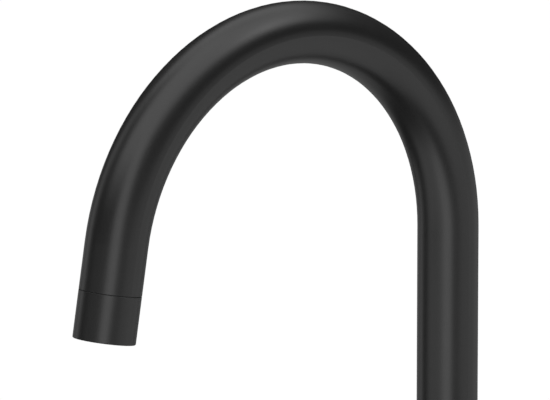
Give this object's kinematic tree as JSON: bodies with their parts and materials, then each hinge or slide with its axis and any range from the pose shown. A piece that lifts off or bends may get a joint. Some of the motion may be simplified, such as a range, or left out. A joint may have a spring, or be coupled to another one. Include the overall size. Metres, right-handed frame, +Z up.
{
  "type": "kitchen mixer tap",
  "caption": "Single-hole kitchen mixer tap with a tall swinging gooseneck spout, a side lever that turns and tips, and a ceramic disc cartridge.",
  "frame": {"origin": "centre of the foot, on the plane of the deck it stands on", "axes": "+Z up along the body's column, -Y towards the user, the way the spout reaches, +X towards the side lever"},
  "size_m": [0.089, 0.2466, 0.464],
  "materials": {
    "black_coat": "satin matt black coating on brass",
    "brass": "machined brass",
    "steel": "plain stainless steel",
    "rubber": "moulded black rubber",
    "white_plastic": "moulded white plastic",
    "grey_plastic": "moulded grey plastic",
    "ceramic": "lapped alumina",
    "black_plastic": "moulded black plastic"
  },
  "bodies": {
    "mixer_body": {"body": "black_coat", "base_flange": "black_coat", "base_gasket": "rubber", "threaded_shank": "brass", "deck_rubber_washer": "rubber", "deck_steel_washer": "steel", "shank_nut": "brass", "jack_screws": "steel", "swivel_washer": "black_plastic", "spout_lock_screw": "steel", "cartridge_base": "white_plastic", "cartridge_seals": "rubber", "fixed_disc": "ceramic", "cartridge_housing": "white_plastic", "cartridge_nut": "brass", "cartridge_cover": "black_coat"},
    "spout": {"spout_tube": "black_coat", "outlet_sleeve": "black_coat", "spout_end_ring": "brass", "outlet_o_ring": "rubber", "aerator_seal": "rubber", "aerator_housing": "grey_plastic", "aerator_regulator": "white_plastic", "aerator_screen": "grey_plastic", "spout_connector": "brass", "spout_o_rings": "rubber", "spout_collar": "black_coat"},
    "lever_turret": {"turret": "white_plastic", "turret_seal": "rubber", "pivot_pin": "steel"},
    "lever": {"spindle": "brass", "lever_hub": "black_coat", "lever_rod": "black_coat", "hub_screw": "steel", "hub_screw_plug": "black_plastic"},
    "disc_slider": {"disc_carrier": "white_plastic", "moving_disc": "ceramic"}
  },
  "joints": [
    {"name": "spout_swing", "type": "hinge", "parent": "mixer_body", "child": "spout", "pos_m": [0, 0, 0.14], "axis": [0, 0, 1], "range_deg": [-75, 75]},
    {"name": "lever_turn", "type": "hinge", "parent": "mixer_body", "child": "lever_turret", "pos_m": [0.027, 0, 0.085], "axis": [1, 0, 0], "range_deg": [-45, 45]},
    {"name": "lever_tip", "type": "hinge", "parent": "lever_turret", "child": "lever", "pos_m": [0.027, 0, 0.085], "axis": [0, 1, 0], "range_deg": [0, 25]},
    {"name": "disc_slide", "type": "slide", "parent": "lever_turret", "child": "disc_slider", "axis": [0, 0, 1], "range_m": [0, 0.0042]}
  ],
  "couplings": [
    {"joint": "disc_slide", "follows": "lever_tip", "m_per_rad": 0.009201}
  ]
}
